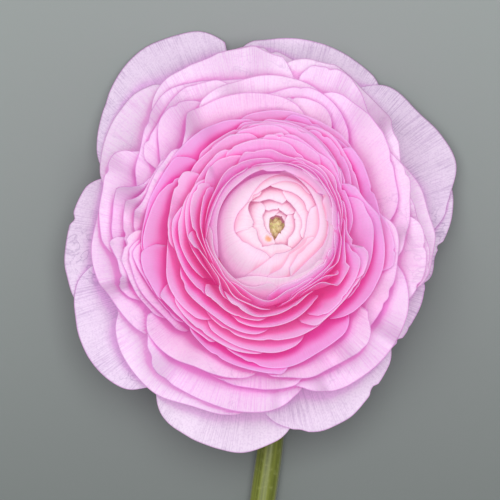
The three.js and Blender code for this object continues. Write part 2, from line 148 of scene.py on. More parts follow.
OUTER_RIMS = [
    (204, 265, 37.5, 40.1, 41.0, 41.1, 39.6, 39.0, 37.4),
    (-11, 37, 37.8, 38.4, 39.6, 39.0, 39.0, 38.1, 36.4),
    (112, 158, 45.5, 46.7, 47.8, 47.1, 45.5, 43.2, 40.2),
    (74, 112, 43.6, 46.6, 49.0, 49.8, 48.8, 46.8, 44.0),
    (22, 81, 34.5, 36.3, 39.9, 43.6, 46.2, 47.0, 46.6),
    (80, 129, 42.0, 48.0, 48.5, 47.7, 46.6, 45.8, 42.0),
    (50, 77, 38.0, 40.8, 43.6, 45.3, 45.7, 45.5, 44.4),
    (160, 217, 38.8, 39.0, 39.6, 39.0, 37.3, 35.6, 33.6),
    (141, 180, 37.2, 40.9, 40.6, 39.6, 39.2, 38.2, 37.1),
    (217, 281, 35.0, 37.6, 37.4, 37.7, 37.9, 37.0, 35.0),
    (-15, 24, 36.0, 37.2, 37.1, 36.3, 35.0, 34.5, 33.8),
    (92, 152, 40.2, 40.9, 42.6, 43.3, 40.1, 36.2, 34.2),
    (-24, 12, 34.0, 35.0, 36.0, 36.3, 35.9, 35.4, 34.2),
    (103, 142, 40.8, 41.4, 42.0, 40.4, 38.1, 36.8, 36.2),
    (284, 354, 33.5, 36.0, 36.5, 36.5, 35.6, 33.5, 30.2),
    (112, 150, 37.2, 38.7, 38.8, 37.4, 33.2, 29.8, 28.5),
    (149, 189, 35.2, 36.4, 36.3, 35.8, 35.3, 33.7, 31.6),
    (-6, 43, 29.8, 31.0, 32.6, 33.9, 35.7, 35.8, 35.2),
    (178, 202, 37.0, 36.4, 35.7, 35.3, 35.0, 34.0, 32.6),
    (68, 117, 38.6, 40.2, 40.6, 40.3, 39.1, 37.9, 36.0),
    (10, 67.5, 28.2, 31.2, 33.0, 35.5, 38.0, 39.0, 40.2),
    (244, 284, 31.2, 31.4, 32.1, 32.2, 32.3, 32.3, 31.8),
    (140, 182, 35.8, 35.3, 34.8, 33.8, 33.1, 32.5, 31.9),
    (52, 94, 31.4, 34.6, 37.1, 38.4, 38.0, 36.3, 35.4),
    (134, 176, 35.8, 35.3, 34.2, 33.1, 32.1, 30.7, 29.4),
    (213, 266, 33.8, 33.8, 33.0, 32.0, 31.5, 30.4, 28.8),
    (176, 214, 34.8, 33.6, 32.9, 32.2, 31.5, 30.6, 29.8),
    (61, 84, 31.6, 33.8, 35.1, 35.6, 35.7, 35.3, 34.8),
    (73.5, 133, 32.2, 34.6, 35.5, 35.8, 35.5, 34.8, 30.0),
    (-44, 12, 29.2, 29.7, 29.9, 29.7, 29.5, 29.3, 28.6),
    (180.5, 224, 31.8, 31.2, 30.9, 30.2, 29.2, 28.6, 28.3),
    (268, 324, 29.0, 30.0, 31.0, 30.9, 31.2, 31.4, 28.5),
    (181.5, 222, 30.8, 30.1, 29.0, 28.0, 27.4, 27.0, 26.9),
]
RING_RIMS = [
    (40, 100, 27.6, 30.0, 30.8, 31.0, 30.2), (44, 80, 27.9, 28.5, 28.9, 29.9, 30.2),
    (97, 146, 28.6, 29.8, 29.6, 29.2, 28.5), (228, 276, 26.6, 27.4, 28.0, 28.6, 29.4),
    (137, 184, 28.7, 28.5, 28.5, 28.4, 28.3), (-10, 16, 28.5, 28.5, 28.0, 27.2, 25.9),
    (54, 104, 26.6, 28.2, 28.5, 28.1, 28.2), (11, 50, 25.6, 26.0, 26.6, 27.6, 28.5),
    (145, 185, 25.4, 26.7, 27.5, 28.2, 28.1), (184, 214, 28.6, 28.8, 28.2, 27.6, 25.3),
    (206, 240, 27.6, 26.9, 26.2, 25.8, 25.9), (246, 312, 25.6, 27.1, 27.8, 26.7, 26.2),
    (26, 72, 22.6, 24.4, 26.2, 28.0, 28.3), (88, 128, 27.0, 27.2, 26.8, 26.2, 25.6),
    (30, 70, 20.6, 23.1, 25.3, 26.9, 27.4), (34, 92, 19.6, 22.6, 25.3, 27.1, 28.1),
    (-42, 28, 24.2, 25.6, 26.1, 24.6, 22.4), (38, 95, 19.2, 21.9, 24.9, 26.6, 27.2),
    (212, 266, 25.3, 25.3, 25.2, 25.7, 25.1), (42, 100, 19.4, 22.2, 24.7, 26.1, 26.7),
    (79, 122, 23.4, 25.8, 25.9, 25.6, 25.0), (236, 286, 24.1, 24.5, 24.8, 24.8, 23.6),
    (100, 148, 24.2, 25.2, 24.5, 23.9, 22.5), (178, 228, 22.8, 23.4, 24.7, 24.6, 24.0),
    (143, 184, 25.1, 24.3, 23.4, 23.4, 22.8), (-38, 19, 21.7, 22.3, 22.9, 22.5, 21.0),
    (230, 302, 22.0, 22.8, 22.7, 22.6, 22.0), (6, 82, 16.2, 16.9, 18.9, 21.7, 23.4),
    (84, 118, 22.8, 22.5, 22.4, 22.2, 21.3), (200, 262, 21.6, 22.5, 22.0, 22.1, 22.0),
    (-64, -15, 22.2, 21.7, 21.5, 21.8, 22.0), (116, 158, 21.6, 21.9, 21.3, 20.6, 19.9),
    (165, 222, 23.3, 22.4, 21.6, 20.8, 20.0), (155, 205, 23.2, 22.4, 21.2, 20.4, 19.5),
    (58, 95, 18.9, 20.1, 21.0, 21.9, 22.4), (-25, 21, 21.8, 21.8, 21.2, 19.6, 17.6),
    (-58, -14, 21.1, 21.1, 20.9, 20.9, 20.5), (69, 118, 16.6, 19.5, 20.9, 21.4, 21.2),
    (246, 302, 20.6, 20.7, 20.2, 19.3, 17.6), (222, 262, 20.7, 20.1, 20.0, 19.9, 19.6),
    (148, 212, 22.3, 20.9, 19.5, 18.5, 17.4), (186, 236, 20.5, 19.7, 18.9, 18.5, 18.4),
    (110, 146, 18.2, 19.8, 20.5, 20.0, 18.8), (238, 296, 20.0, 19.6, 18.8, 17.7, 16.3),
    (-60, 2, 19.3, 18.8, 18.7, 18.7, 17.9), (282, 324, 19.0, 18.6, 18.2, 17.7, 17.2),
    (150, 198, 20.2, 19.5, 18.8, 18.2, 17.9), (9, 55, 15.8, 16.0, 16.6, 17.4, 18.2),
    (6, 72, 14.4, 15.1, 16.2, 18.6, 20.4), (-42, 8, 17.8, 17.9, 18.3, 17.9, 16.4),
    (213, 262, 17.0, 17.6, 17.8, 17.7, 18.0), (66, 112, 15.2, 15.8, 16.4, 17.3, 18.3),
    (-68, -7, 18.0, 16.9, 16.2, 15.8, 14.4), (150, 205, 17.4, 16.4, 16.7, 16.8, 16.7),
    (194, 246, 16.8, 16.6, 16.7, 16.9, 16.8), (236, 300, 16.8, 16.7, 16.7, 16.2, 15.6),
    (272, 332, 16.4, 16.2, 15.8, 15.5, 15.4), (28, 72, 14.2, 14.7, 14.9, 15.1, 15.9),
    (98, 165, 14.2, 15.2, 15.7, 15.1, 15.3), (-2, 66, 12.0, 12.8, 14.0, 14.5, 15.0),
    (50, 104, 12.3, 13.1, 13.8, 14.8, 16.4), (122, 180, 12.8, 13.6, 13.9, 14.2, 15.0),
    (188, 264, 15.4, 15.2, 15.3, 15.4, 15.0), (240, 318, 15.4, 15.2, 15.0, 14.6, 14.0),
    (-36, 12, 14.2, 13.6, 13.2, 12.6, 12.2), (2, 60, 11.6, 11.6, 11.9, 12.3, 12.9),
    (92, 196, 12.0, 12.4, 12.6, 13.3, 14.4), (35, 102, 11.5, 11.4, 11.6, 12.5, 14.2),
]
HEART_RIMS = [
    (270, 392, 14.6, 12.2, 11.0, 11.1, 11.3, 10.9, 11.2),
    (285, 457, 9.8, 8.4, 9.0, 9.0, 9.3, 10.6, 14.2),
    (260, 340, 11.6, 10.9, 8.6, 7.0, 6.1, 5.5, 5.2),
    (238, 385, 12.8, 8.0, 5.5, 5.0, 5.2, 5.6, 4.9),
    (78, 258, 11.2, 9.8, 8.4, 7.8, 9.1, 9.9, 8.5, 7.7, 6.6),
    (42, 150, 8.2, 9.6, 9.2, 8.2, 7.5, 7.3, 7.2),
    (18, 107, 5.9, 6.9, 7.0, 6.9, 6.9, 7.4, 8.2),
    (115, 192, 6.2, 7.1, 7.4, 7.0, 5.9, 5.2, 5.0),
    (183, 300, 5.2, 5.0, 5.8, 6.2, 5.1, 4.4, 4.6),
    (-30, 80, 5.0, 5.4, 5.2, 4.7, 4.7, 4.9, 5.3),
    (68, 137, 3.6, 4.2, 4.9, 5.6, 6.4),
    (-64, 37, 4.5, 4.2, 4.1, 3.7, 4.0),
    (125, 265, 3.2, 3.6, 2.9, 2.6, 2.6, 2.8, 3.4),
    (32, 132, 2.7, 2.6, 2.8, 3.0, 3.2),
    (260, 402, 3.3, 2.3, 1.8, 1.6, 1.6, 1.8, 2.4),
    (78, 264, 2.2, 1.8, 1.9, 1.7, 1.8, 2.2, 3.4),
    (0, 110, 1.8, 1.8, 1.9, 1.9, 2.0),
]
HEART_AGES = (0.199, 0.192, 0.185, 0.178, 0.170, 0.162, 0.154, 0.145, 0.135, 0.123, 0.110, 0.097, 0.08,
              0.062, 0.044, 0.024, 0.008)

# How the petals of each whorl are made: the first one's number for draws, how much further to the sides
# they reach than listed, how far their corners are rounded off, where they are widest, how far they lean
# on what is under them, their shared and own waves, how rough their rims are, how much of them takes the
# deep colours, a pinker foot and painted shade next to what covers them, and their faces.
WHORLS = {
    "heart": dict(first=120, spread=1.0, corner=0.06, widest=0.5, lean=0.0, wave=0.0, own=0.03, jag=0.003,
                  flush_and_shade=1.5, across=60, along=34),
    "ring": dict(first=220, spread=1.25, corner=0.16, widest=0.6, lean=0.4, wave=0.07, own=0.03, jag=0.004,
                 flush_and_shade=1.5, across=44, along=22),
    "outer": dict(first=300, spread=1.12, corner=0.10, widest=0.6, lean=0.8, wave=0.35, own=0.08, jag=0.003,
                  flush_and_shade=2.2, across=52, along=26),
    "guard": dict(first=400, spread=1.0, corner=0.07, widest=0.62, lean=0.0, wave=0.5, own=0.25, jag=0.003,
                  flush_and_shade=2.2, across=64, along=32),
}


def srgb(red, green, blue):
    """Linear colour of one given as it looks on a screen, 0 to 255: each share to the 2.2, opaque."""
    return (*[(value / 255.0) ** 2.2 for value in (red, green, blue)], 1.0)


def smooth(low, high, value):
    """Smooth step from 0 at low to 1 at high: 3t squared less 2t cubed, t the share of the way."""
    t = np.clip((value - low) / (high - low), 0.0, 1.0)
    return t * t * (3.0 - 2.0 * t)


def draw(number, purpose):
    """Repeatable draw between 0 and 1: the fraction of a large multiple of a sine."""
    turn = np.sin(number * 12.9898 + purpose * 78.233) * 43758.5453
    return turn - np.floor(turn)


def ripple(x, number, purpose, waves, first=1):
    """Sine waves across a petal, each with a phase and a drawn height that falls with its number."""
    total = np.zeros_like(x)
    for k in range(first, first + waves):
        height = 3.4 * (draw(number, purpose + k) - 0.5) / k**0.8
        total += height * np.sin(k * np.pi * 0.7 * x + 2 * np.pi * draw(number, purpose + k + 0.5))
    return total


def bezier(values, share):
    """Value of a cubic Bezier curve: its four values times powers of the share and of the rest."""
    rest = 1.0 - share
    weights = (rest**3, 3 * share * rest**2, 3 * share**2 * rest, share**3)
    return sum(weight * value for weight, value in zip(weights, values))


def shell_column(age, column):
    """A column of the table of shells at any age, on straight lines between its rows."""
    return np.interp(age, SHELLS[:, 0], SHELLS[:, column])


def shell_curve(age, share):
    """Radius and height of a shell at a share of its length, on its cubic Bezier curve."""
    columns = [shell_column(age, k) for k in range(1, 9)]
    return bezier(columns[::2], share), bezier(columns[1::2], share)


def share_of_radius(age, radius):
    """Share of a shell's length at which it reaches a radius, near its rim: two of Newton's steps from
    the rim, with the slope that the curve has there, and none where it stands too steep."""
    slope = 3.0 * (shell_column(age, 7) - shell_column(age, 5))
    share = 1.0
    for _ in range(2):
        short = np.where(slope > LEAST_SLOPE, radius - shell_curve(age, share)[0], 0.0)
        share = share + short / np.maximum(slope, LEAST_SLOPE)
    return np.clip(share, 0.6, 1.12)


def young_shift(age):
    """How far a shell stands off the head's axis, sideways and back: less in the ball, none when old."""
    young = 1.0 - smooth(*SHIFT_AGES, age)
    ball = np.where(age < BALL_AGE, age / BALL_AGE, 0.0)
    return [young * (a + (b - a) * ball) for a, b in zip(HEART_SHIFT, BALL_SHIFT)]


def rise_at(height):
    """How much of its shift a height in the head has: none up to SHIFT_FOOT, then evenly more."""
    return np.maximum(height - SHIFT_FOOT, 0.0) / SHIFT_RISE


def head_points(age, share, angle):
    """Points of the head: shells turned round the axis, young ones shifted with height, old ones hanging
    by a power of the cosine of the angle from the side away from the stem."""
    radius, height = shell_curve(age, share)
    side, back = young_shift(age)
    rise = rise_at(height)
    away = (0.5 + 0.5 * np.cos(angle - math.radians(DROOP_ANGLE))) ** 1.5
    hang = DROOP * away * smooth(*DROOP_RADII, radius) * smooth(*DROOP_AGES, age)
    x = radius * np.cos(angle) + side * rise
    y = radius * np.sin(angle) + back * rise
    return np.stack([x, y, height - hang], axis=-1)


def unit(vectors):
    """Vectors over their own lengths."""
    return vectors / np.maximum(np.linalg.norm(vectors, axis=-1, keepdims=True), 1e-9)


def steps(points, axis=0):
    """Distances from each point to the next along one direction of a grid."""
    return np.linalg.norm(np.diff(points, axis=axis), axis=-1)


def grid_normals(points):
    """Unit normals of a grid: the cross product of its two differences."""
    return unit(np.cross(np.gradient(points, axis=0), np.gradient(points, axis=1)))


def closing_share(age, radius):
    """Share of a closing shell at which it has narrowed to a radius, read off the curve past its widest
    place. A wider radius lies lower, a twentieth of a share for each millimetre."""
    shares = np.linspace(0.45, 1.06, 400)
    radii = shell_curve(age, shares)[0]
    widest = int(np.argmax(radii))
    closing = np.interp(radius, radii[widest:][::-1], shares[widest:][::-1])
    return np.maximum(closing - 0.05 * np.maximum(radius - radii[widest], 0.0), 0.3)


def floor_height(points):
    """Height in the head of a plane just over the floor: the floor turned back by the head's two leans."""
    up = head_to_row(np.eye(3)) - HEAD_BASE
    rise = FLOOR_GAP - HEAD_BASE[2] - points[..., 0] * up[0, 2] - points[..., 1] * up[1, 2]
    return rise / up[2, 2]


def cubic_through(knots, values, at):
    """Smooth curve through values at knots: cubic pieces whose slopes are the neighbours' differences."""
    slopes = np.gradient(values, knots, axis=0)
    k = np.clip(np.searchsorted(knots, at, side="right") - 1, 0, len(knots) - 2)
    step = knots[k + 1] - knots[k]
    t = (at - knots[k]) / step
    if values.ndim > 1:
        t, step = t[:, None], step[:, None]
    return ((2 * t**3 - 3 * t**2 + 1) * values[k] + (t**3 - 2 * t**2 + t) * step * slopes[k]
            + (3 * t**2 - 2 * t**3) * values[k + 1] + (t**3 - t**2) * step * slopes[k + 1])


def falling(x):
    """How far a petal's ends fall away: none over most of it, then the square of what is left."""
    return (np.maximum(np.abs(x) - CORNER_START, 0.0) / (1.0 - CORNER_START)) ** 2


def rim_radius(petal, x):
    """Radius of a listed petal's rim at shares across it, on a smooth curve through its radii."""
    radii = petal["radii"]
    return cubic_through(np.linspace(-1.0, 1.0, len(radii)), radii, np.clip(x * petal["spread"], -1.0, 1.0))


def eased(values, reach):
    """Values averaged over a few neighbours to each side, the ends held."""
    weights = np.hanning(2 * reach + 3)[1:-1]
    return np.convolve(np.pad(values, reach, mode="edge"), weights / weights.sum(), "valid")


def lowest_near(values, reach):
    """The lowest of each value and a few neighbours to each side."""
    padded = np.pad(values, reach, mode="edge")
    return np.min([padded[k:k + len(values)] for k in range(2 * reach + 1)], axis=0)


def shares_round(petal):
    """Where each place round the head lies across a petal: -1 and 1 at its two sides."""
    return ((CIRCLE - petal["angle"] + np.pi) % (2 * np.pi) - np.pi) / petal["half_span"]


def across_petal(x, values):
    """Values round the head as a petal has them across it, where the head's places lie at x on it."""
    order = np.argsort(x)
    return np.interp(PLACES, x[order], values[order])


def eased_round(values):
    """Values round the head averaged over their neighbours, with no seam: three turns, the middle kept."""
    return eased(np.tile(values, 3), COVER_REACH)[len(values):2 * len(values)]


def close_heart(petals):
    """Gives the ball's petals, oldest first, their shells, and what covers them: the older petals.

    Their rims were read round the opening, so radii are turned to ones round each shell's own axis.
    """
    cover = np.full(len(CIRCLE), WIDE_OPEN)
    for age, petal in zip(HEART_AGES, petals):
        angle = petal["angle"] + petal["half_span"] * PLACES
        moved = [a - b for a, b in zip(young_shift(0.0), young_shift(age))]
        radii = rim_radius(petal, PLACES) + moved[0] * np.cos(angle) + moved[1] * np.sin(angle)
        x = shares_round(petal)
        tops = closing_share(age, radii)
        petal.update(age=age, tops=tops, cover=across_petal(x, eased_round(cover)))
        ends = 1.0 - WHORLS["heart"]["corner"] * falling(PLACES)
        rim = np.interp(x, PLACES, shell_curve(age, tops * ends)[0])
        cover = np.where(np.abs(x) <= 1.0, np.minimum(cover, rim), cover)
    return petals


def lay_petals(petals):
    """Gives listed petals, oldest first, their shells and what covers them, place by place across.

    A petal lies on the shell whose rim has its own rim's radius there, or on one a step younger
    than that of the petal under it. What covers it is the widest rim of the younger petals.
    """
    lowest = np.full(len(CIRCLE), OPEN_SHELLS[-1, 0])
    for petal in petals:
        x = shares_round(petal)
        under = across_petal(x, lowest) - AGE_STEP
        petal["under"] = eased(lowest_near(under, COVER_REACH), COVER_REACH)
        if "ages" not in petal:
            own = np.interp(rim_radius(petal, PLACES), OPEN_SHELLS[:, 7], OPEN_SHELLS[:, 0])
            petal["ages"] = eased(np.minimum(own, petal["under"]), 3)
        tip = share_of_radius(petal["ages"], rim_radius(petal, PLACES))
        tip = tip * (1.0 - WHORLS[petal["whorl"]]["corner"] * falling(PLACES))
        petal["rim_round"] = np.interp(x, PLACES, shell_curve(petal["ages"], tip)[0])
        inside = np.abs(x) <= 1.0
        lowest[inside] = np.minimum(lowest[inside], np.interp(x[inside], PLACES, petal["ages"]))
    cover = np.full(len(CIRCLE), BALL_RADIUS)
    for petal in reversed(petals):
        x = shares_round(petal)
        petal["cover"] = across_petal(x, eased_round(cover))
        cover = np.where(np.abs(x) <= 1.0, np.maximum(cover, petal["rim_round"]), cover)


def shared_wave(angle, age):
    """Waves that all petals share and that turn slowly from shell to shell: sines round the head."""
    total = 0.0
    for k, turns in enumerate((3, 5, 8, 12)):
        phase = (16 + 5 * k) * age + 2 * np.pi * draw(900, k)
        total = total + np.sin(turns * angle + phase) / (1 + 0.5 * k)
    return total


def nicks(x, number):
    """Small torn places in the rim: two wedges at drawn places, each as deep as its draw."""
    total = np.zeros_like(x)
    for k in (60, 62):
        place = 1.8 * (draw(number, k) - 0.5)
        depth = 0.03 * smooth(0.35, 1.0, draw(number, k + 1))
        total += depth * np.maximum(1.0 - np.abs(x - place) / NICK_WIDTH, 0.0)
    return np.minimum(total, NICK_DEPTH)


def petal_grid(petal, whorl):
    """One petal as a grid of points, with its shares across and along and how far it shows.

    The top is the listed rim, its corners falling away. The grid lies on the petal's shell, its tip
    leaning towards the petal under it, and is moved off by waves that grow towards the rim.
    """
    u = np.linspace(-1.0, 1.0, whorl["across"] + 1)
    t = 1.0 - (1.0 - np.linspace(0.0, 1.0, whorl["along"] + 1)) ** 1.4
    u, v = np.meshgrid(u, t, indexing="ij")
    number = petal["number"]
    claw = FOOT_WIDTH + (1.0 - FOOT_WIDTH) * np.sin(np.minimum(v / whorl["widest"], 1.0) * np.pi / 2)
    x = u * claw
    y = v * (1.0 - whorl["corner"] * falling(u))
    y = y + whorl["jag"] * ripple(x, number, 10, 4) * v**4
    y = y + 0.6 * whorl["jag"] * ripple(x, number, 30, 5, first=6) * smooth(0.8, 1.0, v)
    y = y - nicks(x, number) * smooth(0.7, 1.0, v)
    if "tops" in petal:
        age = petal["age"]
        share = np.interp(x, PLACES, petal["tops"]) * y
        shown = np.interp(x, PLACES, petal["cover"]) - shell_curve(age, share)[0]
        shown = np.minimum(shown, 9.0 * smooth(0.42, 0.66, share))
    else:
        age = np.interp(x, PLACES, petal["ages"])
        down = np.clip(np.interp(x, PLACES, petal["under"]) - age, 0.0, 0.08)
        age = age + whorl["lean"] * down * smooth(0.5, 1.0, v)
        share = share_of_radius(age, rim_radius(petal, x)) * y
        shown = shell_curve(age, share)[0] - np.interp(x, PLACES, petal["cover"])
    points = head_points(age, share, petal["angle"] + petal["half_span"] * x)
    wave = whorl["own"] * ripple(x, number, 20, 3) * y**3
    wave = wave + whorl["wave"] * shared_wave(petal["angle"] + petal["half_span"] * x, age) * y**3
    points = points + grid_normals(points) * wave[..., None]
    points[..., 2] = np.maximum(points[..., 2], floor_height(points))
    return points, x, y, np.maximum(shown, 0.0)


def edge_distance(points):
    """Distance of each grid point from the nearest of the top and two sides, along the grid's lines."""
    to_top = np.pad(np.cumsum(steps(points, 1)[:, ::-1], axis=1)[:, ::-1], ((0, 0), (0, 1)))
    from_left = np.pad(np.cumsum(steps(points), axis=0), ((1, 0), (0, 0)))
    return np.minimum(to_top, np.minimum(from_left, from_left[-1] - from_left))


def closed_sheet(points, thickness):
    """Corners and faces of a closed sheet: the grid moved half its thickness each way along its
    normals, the back's faces turned over, and a strip round the border."""
    normal = grid_normals(points) * (thickness / 2.0)[..., None]
    across, along = points.shape[:2]
    corners = np.concatenate([(points + normal).reshape(-1, 3), (points - normal).reshape(-1, 3)])
    index = np.arange(across * along).reshape(across, along)
    a, b, c, d = index[:-1, :-1], index[1:, :-1], index[1:, 1:], index[:-1, 1:]
    front = np.stack([a, b, c, d], axis=-1).reshape(-1, 4)
    back = np.stack([d, c, b, a], axis=-1).reshape(-1, 4) + across * along
    loop = np.concatenate([index[:-1, 0], index[-1, :-1], index[:0:-1, -1], index[0, :0:-1]])
    after = np.roll(loop, -1)
    strip = np.stack([after, loop, loop + across * along, after + across * along], axis=-1)
    return corners, [np.concatenate([front, back, strip])]


def turn_matrix(axis, angle):
    """Matrix that turns points round x, y or z, axis 0, 1 or 2: cosines and sines of the angle."""
    a, b = (axis + 1) % 3, (axis + 2) % 3
    matrix = np.eye(3)
    matrix[[a, b], [a, b]] = math.cos(angle)
    matrix[a, b] = -math.sin(angle)
    matrix[b, a] = math.sin(angle)
    return matrix


def head_to_row(points):
    """Head coordinates to the row's: turned by the two leans, then moved to the head's base."""
    turn = turn_matrix(0, math.radians(-LEAN_BACK)) @ turn_matrix(1, math.radians(LEAN_SIDE))
    return points @ turn.T + HEAD_BASE


def outward(corners, faces):
    """Faces of a body, quads and triangles apart, turned over if the volume that they close is negative."""
    volume = 0.0
    for part in faces:
        for k in range(1, part.shape[1] - 1):
            volume += np.sum(np.cross(corners[part[:, 0]], corners[part[:, k]]) * corners[part[:, k + 1]])
    return faces if volume > 0 else [part[:, ::-1] for part in faces]


def gather(bodies):
    """Several bodies as one: all corners in a row, each body's faces moved on past the corners before."""
    corners, faces, count = [], [], 0
    for body_corners, body_faces in bodies:
        faces += [part + count for part in outward(body_corners, body_faces)]
        corners.append(body_corners)
        count += len(body_corners)
    return np.concatenate(corners), faces


def smooth_path(points, count):
    """Even points on the smooth curve through some others, by the distance along them."""
    points = np.asarray(points, dtype=float)
    knots = np.append(0.0, np.cumsum(steps(points)))
    return cubic_through(knots, points, np.linspace(0.0, knots[-1], count))


def closed_rings(rings):
    """Corners and faces of a body from rings of points: quads from ring to ring, a fan at each end."""
    count, around = rings.shape[:2]
    corners = np.concatenate([rings.reshape(-1, 3), rings[[0, -1]].mean(axis=1)])
    index = np.arange(count * around).reshape(count, around)
    after = np.roll(index, -1, axis=1)
    quads = np.stack([index[:-1], after[:-1], after[1:], index[1:]], axis=-1).reshape(-1, 4)
    first, last = np.full(around, count * around), np.full(around, count * around + 1)
    fans = [np.stack([after[0], index[0], first], axis=-1), np.stack([index[-1], after[-1], last], axis=-1)]
    return corners, [quads, np.concatenate(fans)]


def ring_values(rings, value, ends=(0.0, 0.0)):
    """A value at each corner of a body of rings, and those of its two ends."""
    return np.append(np.broadcast_to(value, rings.shape[:2]).ravel(), ends)


def round_angles(count):
    """Even angles once round, as one row."""
    return np.linspace(0.0, 2 * np.pi, count, endpoint=False)[None, :]


def turned_rings(profile, around):
    """Rings of a profile turned round the head's axis: radius times the cosine and sine, and height."""
    angle = round_angles(around)
    radius, height = profile[:, :1], profile[:, 1:]
    return np.stack([radius * np.cos(angle), radius * np.sin(angle), height + 0 * angle], axis=-1)


def new_object(name, data):
    """An object at the origin, in the scene."""
    thing = bpy.data.objects.new(name, data)
    bpy.context.scene.collection.objects.link(thing)
    return thing


def make_piece(name, corners, faces, material, values, flat_map=None):
    """A mesh object at the origin from corners in millimetres, its point values and its UV map."""
    mesh = bpy.data.meshes.new(name)
    mesh.from_pydata((corners * MM).tolist(), [], [face for part in faces for face in part.tolist()])
    mesh.shade_smooth()
    for key, value in values.items():
        mesh.attributes.new(key, "FLOAT", "POINT").data.foreach_set("value", value.astype(np.float32))
    if flat_map is not None:
        loops = np.concatenate([part.ravel() for part in faces])
        layer = mesh.uv_layers.new(name="petal")
        layer.uv.foreach_set("vector", flat_map[loops].astype(np.float32).ravel())
    mesh.materials.append(material)
    mesh.validate()
    return new_object(name, mesh)


def petal_piece(name, petals, material):
    """All petals of a whorl as one mesh, with what the material reads at each point: the distance from
    the edge, the flush with its painted shade, 1 where a petal comes out of what covers it and none well
    outside, its age in the whorl, a drawn tint, and a flat map of each petal."""
    bodies, values, maps = [], {}, []
    for petal in petals:
        whorl = WHORLS[petal["whorl"]]
        points, x, y, shown = petal_grid(petal, whorl)
        rim = edge_distance(points)
        # Painted shade: the flush is deepest where a petal comes out from under a covering rim, for its
        # shadow and the light passed between petals, and deeper too far from its own edge, where the foot is
        # pinker.
        part = whorl["flush_and_shade"] * shown / (shown + rim + 0.2)
        flush_and_shade = 1.0 - smooth(0.0, 1.0, np.maximum(part, shown / FLUSH_AND_SHADE_WIDTH))
        thickness = RIM_THICKNESS + (FOOT_THICKNESS - RIM_THICKNESS) * smooth(0.0, THICK_FROM, rim)
        sheet, quads = closed_sheet(points, thickness)
        bodies.append((head_to_row(sheet), quads))
        tint = draw(petal["number"], 50)
        for key, value in (("rim", rim), ("flush_and_shade", flush_and_shade), ("bloom", petal["bloom"]), ("tint", tint)):
            values.setdefault(key, []).append(np.tile(np.broadcast_to(value, x.shape).ravel(), 2))
        width, length = steps(points[:, -1]).sum(), steps(points[len(points) // 2]).sum()
        flat = np.stack([x * width / 2.0, y * length], axis=-1).reshape(-1, 2) / MAP_UNIT
        maps.append(np.tile(flat + 1.7 * draw(petal["number"], 51), (2, 1)))
    values = {key: np.concatenate(parts) for key, parts in values.items()}
    corners, faces = gather(bodies)
    return make_piece(name, corners, faces, material, values, np.concatenate(maps))


def listed_petals(whorl, rows):
    """Petals of a whorl from the list of their rims, oldest first, each with its own small draws."""
    start, spread = WHORLS[whorl]["first"], WHORLS[whorl]["spread"]
    return [dict(whorl=whorl, number=start + k, angle=math.radians((first + last) / 2), spread=spread,
                 half_span=math.radians((last - first) / 2) * spread, radii=np.array(radii),
                 bloom=1.0 - k / (len(rows) - 1)) for k, (first, last, *radii) in enumerate(rows)]


def all_listed_petals():
    """The closed heart with the ring's youngest petals, which hug it and share its colours, paler
    towards the stem by a sine, and the guards, outer petals and ring, laid over each other."""
    heart = close_heart(listed_petals("heart", HEART_RIMS))
    guards = listed_petals("guard", GUARD_RIMS)
    outers = listed_petals("outer", OUTER_RIMS)
    ring = listed_petals("ring", RING_RIMS)
    for petal, age in zip(guards, GUARD_AGES):
        petal["ages"] = age + 0.01 * PLACES
    lay_petals(guards + outers + ring)
    hugging = ring[-HUGGING_PETALS:]
    for petal in hugging:
        petal["bloom"] = 0.6 + 0.4 * math.sin(petal["angle"])
    for petal in heart:
        petal["bloom"] *= BALL_BLOOM
    return heart + hugging, guards, outers, ring[:-HUGGING_PETALS]


def stem_path(count):
    """The stem's middle line: out of the head, round a quarter of an ellipse and along the floor."""
    out = head_to_row(np.array((0.0, 0.0, -1.0))) - HEAD_BASE
    neck = HEAD_BASE + STEM_NECK * out
    angle = np.radians(np.linspace(0.0, 90.0, 10))
    drop = (neck[2] - STEM_HEIGHT) * np.sin(angle)
    bend = neck - np.stack([0.0 * angle, STEM_BEND * (1 - np.cos(angle)), drop], axis=-1)
    lying = np.array([(HEAD_BASE[0] + x, HEAD_BASE[1] + y, STEM_HEIGHT) for x, y in STEM_LINE])
    return smooth_path(np.concatenate([[HEAD_BASE - STEM_INSIDE * out, HEAD_BASE], bend, lying]), count)


def stem_tube():
    """The stem as rings along its line, then back into the hollow of its cut end.

    A ring's radius waves round it in shallow ribs, and what would go under the floor is pressed flat.
    """
    path = stem_path(STEM_RINGS)
    ahead = np.gradient(path, axis=0)
    run = np.linalg.norm(ahead, axis=1).sum() * np.linspace(0.0, 1.0, STEM_RINGS)[:, None]
    ahead = unit(ahead)
    back = slice(None, -BORE_RINGS - 1, -1)
    path, run, ahead = [np.concatenate([part, part[back]]) for part in (path, run, ahead)]
    side = unit(np.array((1.0, 0.0, 0.0)) - ahead[:, :1] * ahead)
    up = np.cross(ahead, side)
    angle = round_angles(40)
    ribs = 1.0 + RIB_DEPTH * np.sin(RIBS * angle + 0.03 * run) + 0.012 * np.sin(0.21 * run)
    radius = STEM_RADIUS * ribs
    radius[STEM_RINGS:] = BORE_RADIUS * (1.0 + 0.05 * np.sin(5 * angle))
    radius[STEM_RINGS - 1] *= 0.97
    rings = (path[:, None] + side[:, None] * (radius * np.cos(angle))[..., None]
             + up[:, None] * (radius * np.sin(angle))[..., None])
    rings[..., 2] = np.maximum(rings[..., 2], 0.0)
    inside = (np.arange(len(run)) >= STEM_RINGS - 1).astype(float)[:, None]
    values = dict(turn_x=ring_values(rings, np.cos(angle)), turn_y=ring_values(rings, np.sin(angle)),
                  run=ring_values(rings, run), inside=ring_values(rings, inside, (0.0, 1.0)))
    return closed_rings(rings), values


